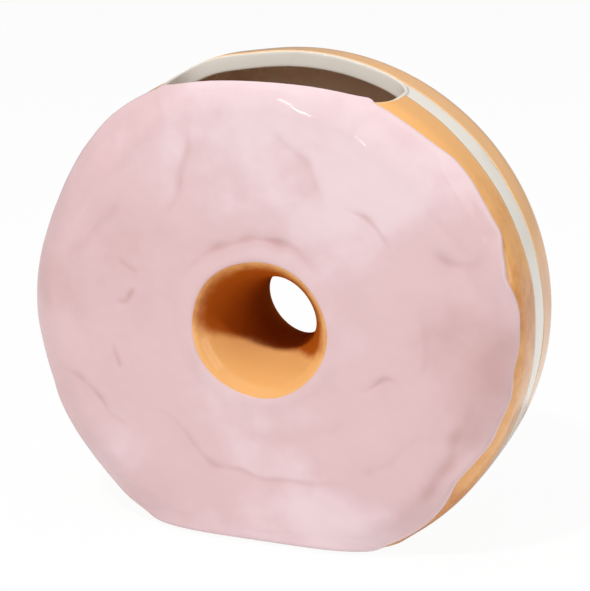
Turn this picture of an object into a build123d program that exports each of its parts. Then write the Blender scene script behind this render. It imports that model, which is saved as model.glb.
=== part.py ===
from build123d import *
import math
import os

# Hollow ring vase, standing on edge. Lengths in millimetres.
# The ring's axis runs along Y, the iced face looks to -Y, and z = 0 is the floor.

# The ring, with its icing: the cast front face lies behind the icing
ring_radius = 100.0
flat_cut = 12.6
half_depth = 37.5
wall = 5.8
corner_radius = 16.5
rim_crown = 1.7
face_crown = 1.0

# The hole through the middle: it narrows to a waist, a little behind the ring's middle
seat_radius = 27.5
waist_radius = 13.8
waist_depth = 2.0
hole_round = 3.0
tube_wall = 5.5

# The flat foot: the body flares to it, and stands on a low unglazed ring
skirt_height = 8.0
skirt_depth_share = 0.985
foot_round = 2.6
foot_height = 1.2
foot_inset = 3.0
foot_ring_width = 6.0

# The cream band round the middle of the rim
band_front = 6.3
band_rear = 6.1

# The icing: its thickness, and where its edge lies on the rim
icing_thickness = 1.4
icing_reach = 12.3
icing_droop = 2.3
wave_height = 2.0

# The edge's waves: how many go round, their height as a share, their turn as a share
wave_shares = ((3, 1.0, 0.02), (8, 0.6, 0.38), (13, 0.3, 0.98))
wave_points = 96

# The mouth in the top of the rim
mouth_half_length = 47.7
mouth_front_margin = 5.2
mouth_rear_edge = 8.2
mouth_front_bow = 6.0
mouth_rear_bow = 0.8
mouth_end_bow = 1.2
mouth_corner_radius = 10.5
lip_thickness = 1.4
lip_rise = 0.5
lip_overlap = 1.2

# One length longer than any wall, for cuts that pass right through
overrun = 60.0

axis_height = ring_radius - flat_cut
tube_radius = waist_radius + tube_wall
above = ring_radius + overrun
mouth_bottom = math.sqrt((ring_radius - wall)**2 - mouth_half_length**2) - lip_overlap


def bowed_face(left, right, low, high, bows, corner):
    """A four-cornered face in XY whose left, right, low and high sides bow outwards."""
    left_bow, right_bow, low_bow, high_bow = bows
    across = (left + right) / 2
    up = (low + high) / 2
    sides = [
        ThreePointArc((left, low), (across, low - low_bow), (right, low)),
        ThreePointArc((right, low), (right + right_bow, up), (right, high)),
        ThreePointArc((right, high), (across, high + high_bow), (left, high)),
    ]
    if left_bow:
        sides.append(ThreePointArc((left, high), (left - left_bow, up), (left, low)))
    else:
        sides.append(Line((left, high), (left, low)))
    face = make_face(sides)
    corners = face.vertices().sort_by(Axis.X)
    return fillet(corners if left_bow else corners[-2:], corner)


def ring_section(grow, inner_radius):
    """Section of the ring, grown by a skin: X is the distance from the axis, Y the depth."""
    rim = ring_radius - rim_crown + grow
    rear = half_depth - face_crown + grow
    front = rear - icing_thickness
    bows = (0, rim_crown, face_crown, face_crown)
    return bowed_face(inner_radius, rim, -front, rear, bows, corner_radius + grow)


def half_space(z_low, z_high):
    """A block over the whole plan, between two heights above the floor."""
    span = 2 * above
    return Pos(0, 0, (z_low + z_high) / 2) * Box(span, span, z_high - z_low)


def blank(grow, inner_radius, bottom_round=0):
    """The whole ring as a filled solid, grown by a skin, on its flat-bottomed skirt."""
    ring = Pos(0, 0, axis_height) * revolve(ring_section(grow, inner_radius), Axis.Y, 360)
    sole = section(ring, section_by=Plane.XY.offset(skirt_height))
    drop = axis_height - skirt_height
    half_length = math.sqrt(ring_radius**2 - drop**2)
    run = skirt_height - foot_height
    length_share = 1 - run * drop / half_length**2
    floor_outline = Pos(0, 0, -run) * scale(sole, by=(length_share, skirt_depth_share, 1))
    skirt = loft([sole, floor_outline], ruled=True)
    body = (ring & half_space(skirt_height, axis_height + above)) + skirt
    bottom = body.faces().sort_by(Axis.Z)[0]
    return fillet(bottom.edges(), bottom_round) if bottom_round else body


def depth_slice(y_low, y_high):
    """A block over the whole height, between two depths."""
    span = 2 * above
    return Pos(0, (y_low + y_high) / 2, axis_height) * Box(span, y_high - y_low, span)


def mouth_prism(inset):
    """Upright prism through the top of the rim, inside the mouth's outline by an inset."""
    half_length = mouth_half_length - mouth_end_bow - inset
    front = -(half_depth - mouth_front_margin - mouth_front_bow) + inset
    rear = mouth_rear_edge - mouth_rear_bow - inset
    bows = (mouth_end_bow, mouth_end_bow, mouth_front_bow, mouth_rear_bow)
    outline = bowed_face(-half_length, half_length, front, rear, bows,
                         mouth_corner_radius - inset)
    return Pos(0, 0, axis_height + mouth_bottom) * extrude(outline, above - mouth_bottom)


def edge_depth(turn):
    """Depth of the icing's edge on the rim at a turn round the ring, in radians."""
    wave = sum(
        share * math.sin(count * turn + math.tau * phase)
        for count, share, phase in wave_shares
    )
    return -(half_depth - icing_reach) - icing_droop * (1 - math.sin(turn)) / 2 + wave_height * wave


def behind_the_wave():
    """Everything behind the icing's wavy edge, as a thick ring with a wavy front."""
    loops = []
    for radius in (ring_radius - half_depth, ring_radius + overrun):
        places = []
        for step in range(wave_points):
            turn = math.tau * step / wave_points
            places.append((radius * math.cos(turn), edge_depth(turn), radius * math.sin(turn)))
        loops.append(Edge.make_spline(places, periodic=True))
    front = Face.make_surface_from_curves(*loops)
    return Pos(0, 0, axis_height) * Solid.extrude(front, Vector(0, 2 * half_depth, 0))


def flared_side(towards):
    """Half of the hole's wall, from a face (-1 front, 1 rear) to the waist, as two arcs.

    A round runs off the face, and a long bow of a radius that meets it runs on to the waist."""
    round_centre = Vector(seat_radius, towards * (half_depth - face_crown - hole_round))
    reach = abs(round_centre.Y - waist_depth)
    spread = seat_radius - waist_radius
    bow_radius = (spread**2 + reach**2 - hole_round**2) / (2 * (spread - hole_round))
    bow_centre = Vector(waist_radius + bow_radius, waist_depth)
    out = (round_centre - bow_centre).normalized()
    meeting = bow_centre + out * bow_radius
    on_face = round_centre + Vector(0, towards * hole_round)
    on_round = round_centre + (out + Vector(0, towards)).normalized() * hole_round
    on_bow = bow_centre + (out - Vector(1, 0)).normalized() * bow_radius
    waist = Vector(waist_radius, waist_depth)
    return [ThreePointArc(on_face, on_round, meeting), ThreePointArc(meeting, on_bow, waist)]


def tube_section():
    """Section of the tube in the hole: its waisted inside, and a bowed outside in the chamber."""
    cheek = half_depth - face_crown
    rear_seat = cheek - wall
    front_seat = rear_seat - icing_thickness
    seats = [Line((seat_radius, towards * cheek), (seat_radius, towards * seat))
             for towards, seat in ((-1, front_seat), (1, rear_seat))]
    outside = ThreePointArc((seat_radius, -front_seat), (tube_radius, waist_depth),
                            (seat_radius, rear_seat))
    return make_face(flared_side(-1) + flared_side(1) + seats + [outside])


def one_solid(shape):
    """The shape's largest solid, without slivers."""
    return max(shape.solids(), key=lambda solid: solid.volume)


# Solids that the pieces are cut from
dough = blank(0, seat_radius, foot_round)
inside = blank(-wall, tube_radius)
chamber = inside & half_space(foot_height + wall, axis_height + above)
mouth = mouth_prism(0)
casting = dough - chamber - mouth

front_shell = one_solid(casting & depth_slice(-above, -band_front))
cream_band = one_solid(casting & depth_slice(-band_front, band_rear))
rear_shell = one_solid(casting & depth_slice(band_rear, above))

# The foot ring is set in from the body's edge, and its bottom is the floor
foot_outside = blank(-foot_inset, seat_radius)
foot_inside = blank(-foot_inset - foot_ring_width, seat_radius)
foot_slice = (foot_outside - foot_inside) & half_space(foot_height, 2 * foot_height)
foot_ring = one_solid(Pos(0, 0, -foot_height) * foot_slice)

centre_tube = Pos(0, 0, axis_height) * revolve(tube_section(), Axis.Y, 360)

# The icing is a coat on the front face that ends in a wavy edge on the rim
coat = blank(icing_thickness, seat_radius, foot_round) - dough - mouth
icing = one_solid(coat - behind_the_wave() - depth_slice(0, above))

# The lip lines the mouth, down to the inside of the wall
lip_wall = (blank(lip_rise, seat_radius) - chamber) & mouth
mouth_lip = one_solid(lip_wall - mouth_prism(lip_thickness))

nodes = {
    "front_shell": front_shell,
    "cream_band": cream_band,
    "rear_shell": rear_shell,
    "centre_tube": centre_tube,
    "foot_ring": foot_ring,
    "icing": icing,
    "mouth_lip": mouth_lip,
}

os.makedirs("parts", exist_ok=True)
for name, shape in nodes.items():
    export_step(shape, f"parts/{name}.step")
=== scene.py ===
import math

import bpy
import numpy as np
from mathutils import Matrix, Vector


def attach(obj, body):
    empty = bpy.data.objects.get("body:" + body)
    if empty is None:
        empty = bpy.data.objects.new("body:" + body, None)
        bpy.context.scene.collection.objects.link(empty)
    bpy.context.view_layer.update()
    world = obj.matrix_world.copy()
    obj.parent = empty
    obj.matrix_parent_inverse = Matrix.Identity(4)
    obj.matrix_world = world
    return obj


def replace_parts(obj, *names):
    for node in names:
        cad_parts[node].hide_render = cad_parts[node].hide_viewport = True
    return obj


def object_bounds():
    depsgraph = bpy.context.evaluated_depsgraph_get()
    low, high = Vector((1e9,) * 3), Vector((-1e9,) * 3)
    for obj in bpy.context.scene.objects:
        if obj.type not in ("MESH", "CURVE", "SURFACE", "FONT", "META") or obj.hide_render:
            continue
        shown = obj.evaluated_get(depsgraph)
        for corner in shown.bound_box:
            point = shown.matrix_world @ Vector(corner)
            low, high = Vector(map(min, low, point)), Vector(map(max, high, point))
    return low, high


bl_info = {
    "name": "Donut vase",
    "version": (1, 0, 0),
    "blender": (4, 5, 0),
    "location": "3D View > Sidebar > Donut vase",
    "description": "Surfaces, glazes and studio for a ring vase that stands on edge",
    "category": "Add Mesh",
}

# The ring's axis runs along Y, the iced face looks to -Y, and z = 0 is the floor.
# Sizes are metres. A turn is an angle round the ring's axis, from +X towards +Z, and a run is a
# distance along the ring's section, from the hole over the front face and the rim to the rear.

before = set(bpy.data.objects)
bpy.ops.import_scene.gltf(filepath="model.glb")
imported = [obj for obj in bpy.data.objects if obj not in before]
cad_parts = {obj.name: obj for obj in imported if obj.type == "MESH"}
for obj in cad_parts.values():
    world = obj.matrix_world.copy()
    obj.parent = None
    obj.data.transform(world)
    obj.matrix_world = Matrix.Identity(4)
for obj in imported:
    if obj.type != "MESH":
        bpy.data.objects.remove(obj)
cad_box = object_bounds()

MM = 0.001
FULL_TURN = 2 * math.pi
BOX_LOW, BOX_HIGH = (np.array(corner) for corner in cad_box)

# The ring stays a hair inside the construction's box
RING_RADIUS = float(min(-BOX_LOW[0], BOX_HIGH[0])) - 0.02 * MM
HALF_DEPTH = float(BOX_HIGH[1] - BOX_LOW[1]) / 2

# Distance between points on a softened line, and the points that cover the hole and the rim
LINE_STEP = 0.25 * MM
HOLE_POINTS, RIM_POINTS = 200, 260

# How high over the floor the coat, its underside and the castings are pressed flat
COAT_FOOT, COAT_UNDER_FOOT, CASTING_FOOT = 0.9 * MM, 1.3 * MM, 1.7 * MM

# How far the casting is sunk under the pink coat, and the coat's mean under its own thickness
BED, COAT_MEAN = 0.9 * MM, -0.75 * MM

# Heights of the coat's slow waves, and of the finer ones on them
SLOW_HEIGHT, FINE_HEIGHT = 0.6 * MM, 0.07 * MM

# How the casting, set by hand, isn't true: the rim behind the mouth's left end stands higher, the
# front corner at the upper left draws in, and the foot's left end is longer by a share
RIM_RAISED, CORNER_DRAWN, FOOT_LONGER = 1.9 * MM, 1.5 * MM, 0.05

# The flattest slope down to the foot plane that counts, so that the radius to it stays finite
LEAST_SLOPE = 0.05

# Waves of the pink coat's edge: how many go round, their height and their turn as shares
EDGE_WAVES = ((3, 1.0, 0.02), (8, 0.6, 0.38), (13, 0.3, 0.98))

# Small drips of the pink coat's edge: turn and width in degrees, reach in millimetres
DRIPS = ((44, 3.0, 0.8), (34, 4.0, -0.9), (25.6, 2.6, 1.6), (16, 2.8, -1.2), (8.5, 3.5, 0.7),
         (-4, 3.0, -0.9), (-11, 3.0, 0.8), (-22, 3.5, 0.8), (-34, 4.0, -0.6), (132, 3.5, 0.9),
         (146, 4.0, -0.8), (158, 3.0, 1.2), (171, 3.5, -1.0), (184, 3.5, 0.8), (199, 3.0, -0.7),
         (214, 4.0, 0.9), (228, 3.0, -0.8))

# Where the pink coat's edge is rolled thicker: turn and width in degrees, height in millimetres
ROLLS = ((26, 7, 0.65), (-33, 7, 0.65), (128, 7, 0.65), (206, 7, 0.65))

# Where the glaze beside the cream band is darker (above 0) or paler (below 0): partly glaze run
# thick, partly painted shade where the rim turns to the sides and painted light at the top; turn
# and width in degrees, and how much
GLAZE_RUNS_AND_SHADE = ((4, 11, 0.55), (-14, 10, 0.18), (-46, 14, 0.4), (30, 12, 0.12), (62, 16, -0.2),
        (140, 14, 0.3), (182, 12, 0.45), (224, 16, 0.35), (90, 30, -0.15))

# Folds of the pink coat: places on the face in millimetres from the axis, then the
# crease's width, its depth, and how much higher the coat lies on its left than on its right
FOLDS = (
    (((-27, 80), (-27.8, 67.1), (-30.4, 57.7), (-33.4, 47.5), (-38, 36)), 1.8, 0.5, -0.5),
    (((-1, 82), (4, 77.4), (11.6, 73.2), (20.1, 66.1), (25.2, 54.9), (26, 46)), 2.2, 0.2, 0.8),
    (((31, 52), (41, 48), (46.8, 43.3), (51, 38.8), (52.5, 33)), 1.6, 0.35, 0.5),
    (((62, 37), (69.9, 35.3), (78.5, 33.5), (89, 34)), 2.4, 0.35, 0.9),
    (((38, -21.5), (45, -17), (51.7, -13), (60.3, -17.2)), 1.5, 0.35, 0.45),
    (((-33, 14), (-27, 24), (-12, 33.5), (2.4, 36), (15.5, 32.4), (29, 20)), 2.6, 0.5, -0.6),
    (((-4, 35.6), (5, 36.2), (14, 33.6), (22, 28)), 1.5, 0.4, -0.2),
    (((-50.3, -35.4), (-38.1, -38), (-28.9, -44.9), (-24.8, -53.6), (-12.6, -57.2), (4, -59.9),
      (22, -58.6), (44, -57)), 1.7, 0.3, 0.8),
    (((-88, -22), (-73.6, -27.6), (-66.4, -33.8), (-64, -41.5), (-52, -44.6)), 1.8, 0.35, 0.7),
    (((86, -12), (77.1, -34.5), (73.9, -46.3), (63, -61.4), (50, -78)), 3.2, 0.3, -0.8),
    (((-14, -39), (10, -42.5), (30, -36), (40, -25)), 4.0, 0.15, 0.6),
    (((34, -57), (54, -44), (68, -30)), 3.4, 0.2, 0.6),
    (((-84, 20), (-62, 40), (-46, 64)), 4.0, 0.1, 0.6),
    (((62, 16), (67, -1), (62, -16)), 2.2, 0.15, -0.4),
    (((-60, 6), (-54, 6), (-50, 13)), 2.0, 0.5, 0.1),
    (((-60.5, -10), (-57.5, -24)), 1.8, 0.4, 0.1),
    (((-58, 24), (-49, 17)), 1.8, 0.3, 0.1),
)

# Broad patches where the pink is painted darker (above 0) or paler (below 0): mostly painted shade
# where the face and rim turn to the sides and painted light at the top and low middle, the rest
# uneven glaze. Place on the face across and up, and reach, in millimetres, then how much
PINK_SHADE_AND_TONE_PATCHES = (
    (-74, 2, 34, 0.2), (-44, 26, 22, 0.2), (-62, 48, 18, 0.08), (88, -6, 22, 0.18),
    (-34, -60, 18, 0.05), (4, 84, 40, -0.12), (50, 62, 28, -0.36), (-8, -36, 18, -0.06),
    (20, 42, 18, -0.06), (-60, -62, 16, -0.1), (16, -70, 24, -0.2), (78, 34, 12, -0.06),
    (-34, -88, 18, -0.14), (36, -88, 20, -0.3), (0, -92, 16, -0.14), (40, 6, 22, -0.06),
    (99, -4, 14, 0.42), (94, -30, 14, 0.12), (82, -54, 14, 0.1), (-97, 10, 14, 0.3),
    (-92, -36, 14, 0.2), (72, 12, 14, 0.1), (64, 40, 10, 0.12),
)

# Slow waves over the whole coat: length in metres, direction and phase in radians
SLOW_WAVES = ((0.021, 0.4, 0.3), (0.034, 1.3, 1.9), (0.047, 2.2, 4.2), (0.029, 2.9, 0.9),
              (0.061, 0.9, 2.6))


def length(name, default, description):
    """A length that a user may change, in metres."""
    return bpy.props.FloatProperty(name=name, description=description, default=default,
                                   unit="LENGTH", subtype="DISTANCE", precision=4)


def colour(name, default, description):
    """A glaze or clay colour that a user may change."""
    return bpy.props.FloatVectorProperty(name=name, description=description, default=default,
                                         subtype="COLOR", size=3, min=0, max=1)


class DonutVaseSizes(bpy.types.PropertyGroup):
    """Sizes of the vase's surfaces"""
    ring_radius: length("Ring radius", RING_RADIUS, "From the axis to the widest part of the rim")
    half_depth: length("Half depth", HALF_DEPTH, "From the middle of the rim to either face")
    axis_height: length("Axis height", 87.4 * MM, "From the floor to the ring's axis")
    corner_radius: length("Corner radius", 16.5 * MM, "Round between a face and the rim")
    rim_crown: length("Rim crown", 1.7 * MM, "How far the rim swells in its middle")
    face_crown: length("Face crown", 1.0 * MM, "How far a face swells")
    wall: length("Wall", 5.8 * MM, "Thickness of the cast wall")
    seat_radius: length("Hole radius", 27.5 * MM, "Radius of the hole where it meets a face")
    waist_radius: length("Waist radius", 13.8 * MM, "Radius of the hole where it is narrowest")
    waist_depth: length("Waist depth", 2.0 * MM, "Depth at which the hole is narrowest")
    hole_round: length("Hole round", 3.0 * MM, "Round from a face into the hole")
    icing: length("Icing", 1.4 * MM, "Thickness of the pink coat where it ends on the rim")
    icing_reach: length("Icing reach", 12.3 * MM, "How far the pink coat comes round on the rim")
    icing_droop: length("Icing droop", 2.3 * MM, "How much less it reaches at the foot")
    wave: length("Wave", 2.0 * MM, "Height of the waves in the pink coat's edge")
    folds: bpy.props.FloatProperty(name="Folds", default=1.0, min=0, max=2, subtype="FACTOR",
                                   description="Height of the pink coat's folds, as a share")
    band_front: length("Band front", -6.3 * MM, "Depth of the cream band's front edge")
    band_rear: length("Band rear", 6.1 * MM, "Depth of the cream band's rear edge")
    mouth_half: length("Mouth half length", 47.7 * MM, "From the middle to the mouth's end")
    mouth_front: length("Mouth front", -32.3 * MM, "Depth of the mouth's front edge")
    mouth_rear: length("Mouth rear", 8.2 * MM, "Depth of the mouth's rear edge")
    lip: length("Lip", 1.4 * MM, "Thickness of the cream lip in the mouth")
    skirt_height: length("Skirt height", 8.0 * MM, "Under it the body flares to the foot")
    foot_height: length("Foot height", 1.2 * MM, "Height of the bare ring that it stands on")
    foot_width: length("Foot width", 6.0 * MM, "Width of the bare ring that it stands on")


class DonutVaseColours(bpy.types.PropertyGroup):
    """Colours of the vase's glazes and clay"""
    pink: colour("Pink icing", (0.74, 0.508, 0.517), "The pink coat")
    # Pooled pink also paints shade in the folds and on the sides; thin pink also paints light at
    # the top and the highlight along the edge
    pink_pooled_and_shaded: colour("Pooled pink", (0.62, 0.375, 0.367), "The pink coat, thick in a fold")
    pink_thin_and_lit: colour("Thin pink", (0.83, 0.64, 0.665), "The pink coat, thin over an edge")
    caramel: colour("Caramel", (0.88, 0.455, 0.16), "The glaze before the cream band")
    # Deep caramel and deep peach are thick glaze and also painted shade where the rim turns to the
    # sides
    caramel_deep_and_shaded: colour("Deep caramel", (0.58, 0.20, 0.035), "The same glaze, lying thick")
    # Burnt caramel is the colour of painted shade deep in the hole, partly thicker glaze
    caramel_hole_shade: colour("Burnt caramel", (0.42, 0.09, 0.008), "The same glaze in the hole")
    peach: colour("Peach", (0.92, 0.51, 0.22), "The rear glaze")
    peach_deep_and_shaded: colour("Deep peach", (0.78, 0.39, 0.17), "The rear glaze, lying thick")
    cream: colour("Cream", (0.90, 0.85, 0.77), "The band and the lip")
    cream_worn: colour("Worn cream", (0.62, 0.52, 0.40), "The cream glaze, showing the clay")
    inside: colour("Inside", (0.84, 0.64, 0.49), "The brown glaze in the hollow")
    inside_pale: colour("Pale inside", (0.86, 0.70, 0.57), "The brown glaze, thin under the lip")
    clay: colour("Bare clay", (0.66, 0.52, 0.40), "The unglazed foot")


def run_along(line):
    """Distance along a line of points, from its start."""
    steps = np.linalg.norm(np.diff(line, axis=0), axis=1)
    return np.concatenate([[0.0], np.cumsum(steps)])


def evenly(line, count):
    """The line again, as points at even distances."""
    run = run_along(line)
    places = np.linspace(0, run[-1], count)
    return np.stack([np.interp(places, run, part) for part in line.T], axis=1)


def softened(line, reach, closed=False):
    """The line as evenly set points, each the mean of its neighbours within the reach, twice."""
    count = int(run_along(line)[-1] / LINE_STEP) + 1
    half = max(1, int(reach / LINE_STEP / 2))
    window = np.ones(2 * half + 1) / (2 * half + 1)
    for _ in range(2):
        line = evenly(line, count)
        if closed:
            padded = np.concatenate([line[-half - 1:-1], line, line[1:half + 1]])
        else:
            before = 2 * line[0] - line[half:0:-1]
            after = 2 * line[-1] - line[-2:-half - 2:-1]
            padded = np.concatenate([before, line, after])
        line = np.stack([np.convolve(part, window, mode="valid") for part in padded.T], axis=1)
    return line


def arc(centre, radius, start, end, count=40):
    """Points on an arc about a centre; angles in degrees."""
    angle = np.radians(np.linspace(start, end, count))
    return np.array(centre) + radius * np.stack([np.cos(angle), np.sin(angle)], axis=1)


def soft_step(value, low, high):
    """0 below low, 1 above high, and an S between them."""
    share = np.clip((value - low) / (high - low), 0, 1)
    return share * share * (3 - 2 * share)


def soft_least(first, second, blend):
    """The smaller of two values, with the crossing rounded over the blend."""
    share = np.clip(0.5 + 0.5 * (second - first) / blend, 0, 1)
    return second * (1 - share) + first * share - blend * share * (1 - share)


def bumps_at(turn, places):
    """Sum of round bumps round the ring: each has a turn and width in degrees, and a height."""
    degrees = np.degrees(turn) % 360
    return sum(height * np.exp(-(((degrees - place + 180) % 360 - 180) / width)**2)
               for place, width, height in places)


def hand_wobble(turn, side):
    """How far a hand-painted border strays in depth at the turns, nothing at their two ends."""
    share = np.linspace(0, 1, len(turn))
    held = soft_step(share, 0, 0.04) * soft_step(1 - share, 0, 0.04)
    return 0.8 * MM * held * (0.35 * np.sin(9 * turn + side) + 0.3 * np.sin(17 * turn + 2 * side)
                              + 0.2 * np.sin(4 * turn))


def inward_from(outline):
    """At each point of a closed outline, the direction straight to its inner side."""
    way = np.roll(outline, -1, axis=0) - np.roll(outline, 1, axis=0)
    way /= np.linalg.norm(way, axis=1)[:, None]
    return np.stack([-way[:, 1], way[:, 0]], axis=1)


def round_bar(count, across_power, up_power):
    """Across and up, -1 to 1, round a bar's profile; a smaller power makes a squarer side."""
    angle = np.linspace(0, FULL_TURN, count, endpoint=False)
    across, up = np.cos(angle), np.sin(angle)
    return (np.sign(across) * np.abs(across)**across_power,
            np.sign(up) * np.abs(up)**up_power)


def hole_side(size, towards, sunk=0.0, count=60):
    """Half of the hole's wall, from a face (-1 front, 1 rear) to the waist, as points.

    A round runs off the face, and a long bow whose radius makes it meet the round runs on to the
    waist. sunk moves both into the wall."""
    cheek = size.half_depth - size.face_crown
    centre = np.array([size.seat_radius, towards * (cheek - size.hole_round)])
    reach = abs(centre[1] - size.waist_depth)
    spread = size.seat_radius - size.waist_radius
    bow = (spread**2 + reach**2 - size.hole_round**2) / (2 * (spread - size.hole_round))
    bow_centre = (size.waist_radius + bow, size.waist_depth)
    lean = math.degrees(math.atan2(reach, bow - spread))
    off_face, meeting = 180 - towards * 90, 180 - towards * lean
    side_round = arc(centre, size.hole_round - sunk, off_face, meeting, count // 3)
    side_bow = arc(bow_centre, bow - sunk, meeting, 180, count)
    return np.concatenate([side_round, side_bow[1:]])


class Section:
    """The cast ring's outer section: radius and depth along it, and its outward normal.

    It starts a little inside the hole, and runs over the front face, a round corner, the bowed
    rim and the other corner to the rear face. The front lies back by the icing's thickness."""

    def __init__(self, size):
        rim = size.ring_radius - size.rim_crown
        rear = size.half_depth - size.face_crown
        front = rear - size.icing
        corner = size.corner_radius
        face = np.linspace(size.seat_radius, rim - corner, 60)
        middle_share = 2 * (face - size.seat_radius) / (rim - size.seat_radius) - 1
        bow = size.face_crown * (1 - middle_share**2)
        side = np.linspace(-front + corner, rear - corner, 60)
        swell = size.rim_crown * (1 - (side / rear)**2)
        into_hole = hole_side(size, -1, size.icing)[40::-1]
        front_face = np.stack([face, -front - bow], axis=1)
        rear_face = np.stack([face, rear + bow], axis=1)[::-1]
        share = np.linspace(0, 1, 40)[:, None]
        front_corner = arc((rim - corner, -front + corner), corner, 270, 360)
        front_corner += share * [[swell[0], 0]] + (1 - share) * [[0, -bow[-1]]]
        rear_corner = arc((rim - corner, rear - corner), corner, 0, 90)
        rear_corner += (1 - share) * [[swell[-1], 0]] + share * [[0, bow[-1]]]
        rim_side = np.stack([rim + swell, side], axis=1)
        line = np.concatenate([into_hole[:-1], front_face[:-1], front_corner[1:-1], rim_side,
                               rear_corner[1:-1], rear_face])
        self.line = softened(line, 3 * MM)
        self.run = run_along(self.line)
        slope = np.gradient(self.line, self.run, axis=0)
        slope /= np.linalg.norm(slope, axis=1)[:, None]
        self.normal = np.stack([slope[:, 1], -slope[:, 0]], axis=1)
        near_hole = self.line[:HOLE_POINTS, 0]
        self.seat_run = float(np.interp(size.seat_radius, near_hole, self.run[:HOLE_POINTS]))
        self.widest = int(np.argmax(self.line[:, 0]))
        self.axis_height = size.axis_height
        self.skirt_top = size.skirt_height
        self.flare = self.flare_table()

    def at(self, run, offset=0.0):
        """Radius and depth at a run, moved outwards by an offset."""
        place = [np.interp(run, self.run, part) for part in self.line.T]
        away = [np.interp(run, self.run, part) for part in self.normal.T]
        return place[0] + offset * away[0], place[1] + offset * away[1]

    def run_at_depth(self, depth):
        """Run where the rim has a depth."""
        rim = slice(self.widest - RIM_POINTS, self.widest + RIM_POINTS)
        return np.interp(depth, self.line[rim, 1], self.run[rim])

    def radius_at_depth(self, depth):
        """Radius of the rim where it has a depth."""
        return self.at(self.run_at_depth(depth))[0]

    def run_at_radius(self, radius):
        """Run where the front face has a radius."""
        return np.interp(radius, self.line[:self.widest, 0], self.run[:self.widest])

    def level_outline(self, height):
        """The ring's outline at a height, as lengths from the middle and depths, front to rear."""
        drop = self.axis_height - height
        kept = self.line[self.line[:, 0] > drop]
        half = np.stack([np.sqrt(kept[:, 0]**2 - drop**2), kept[:, 1]], axis=1)
        return np.concatenate([half[:1] * [0, 1], half, half[-1:] * [0, 1]])

    def flare_table(self):
        """How far the foot flares, as a share, by the height under the skirt's top (rows) and the
        way round from above (columns).

        Down from its top the skirt's outline shrinks evenly, by the slope that the rim has there,
        where the ring's own round would draw in faster and faster towards the floor."""
        top = self.level_outline(self.skirt_top)
        length_slope = (self.axis_height - self.skirt_top) / top[:, 0].max()**2
        depth_slope = 2.2
        way = np.linspace(-math.pi / 2, math.pi / 2, 121)
        rows = []
        for under in np.linspace(0, self.skirt_top, 16):
            ring = self.level_outline(self.skirt_top - under)
            skirt = top * [1 - length_slope * under, 1 - depth_slope * under]
            of_ring, of_skirt = (np.interp(way, np.arctan2(line[:, 1], line[:, 0]),
                                           np.linalg.norm(line, axis=1))
                                 for line in (ring, skirt))
            rows.append(of_skirt / of_ring)
        return np.array(rows)

    def flared(self, points):
        """The points, with those under the skirt's top moved out from the middle by the flare.

        The flare is read between the table's rows and columns. The foot's left end is longer."""
        table = self.flare
        levels, ways = table.shape
        under = np.clip((self.skirt_top - points[..., 2]) / self.skirt_top, 0, 1)
        way = np.arctan2(points[..., 1], np.abs(points[..., 0])) / math.pi + 0.5
        under, way = under * (levels - 1.001), np.clip(way, 0, 1) * (ways - 1.001)
        row, column = under.astype(int), way.astype(int)
        low, side = under - row, way - column
        upper = table[row, column] * (1 - side) + table[row, column + 1] * side
        lower = table[row + 1, column] * (1 - side) + table[row + 1, column + 1] * side
        share = upper * (1 - low) + lower * low
        at_left = (soft_step(-points[..., 0], 18 * MM, 52 * MM)
                   * soft_step(-points[..., 2], -22 * MM, 0))
        longer = share * (1 + FOOT_LONGER * at_left)
        return points * np.stack([longer, share, np.ones_like(share)], axis=-1)

    def hand_set(self, points):
        """The points, moved as a hand-set casting isn't true: behind the mouth's left end the rim
        stands higher, and at the upper left the front corner draws in towards the axis."""
        across, depth = points[..., 0], points[..., 1]
        up = points[..., 2] - self.axis_height
        reach = np.maximum(np.hypot(across, up), 1 * MM)
        raised = (RIM_RAISED * np.exp(-((across + 38 * MM) / (13 * MM))**2)
                  * soft_step(depth, -12 * MM, 4 * MM) * soft_step(up, 40 * MM, 70 * MM))
        from_corner = np.degrees(np.arctan2(up, across)) - 157
        drawn = (CORNER_DRAWN * np.exp(-(from_corner / 14)**2)
                 * soft_step(-depth, 5 * MM, 22 * MM) * soft_step(reach, 70 * MM, 92 * MM))
        share = 1 - drawn / reach
        return np.stack([across * share, depth, self.axis_height + up * share + raised], axis=-1)

    def stood(self, turn, radius, depth, foot, soft=2.6 * MM):
        """Points of the ring, with the part under the foot plane pressed up to it in a soft bend,
        the part over it flared to the foot, and the whole hand-set.

        Along each turn the radius is the softer least of its own and drop / -sin(turn)."""
        drop = self.axis_height - foot
        held = soft_least(radius, drop / np.maximum(-np.sin(turn), LEAST_SLOPE), soft)
        up = self.axis_height + held * np.sin(turn)
        points = np.stack([held * np.cos(turn), depth + 0 * turn, up], axis=-1)
        return self.hand_set(self.flared(points))


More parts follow.
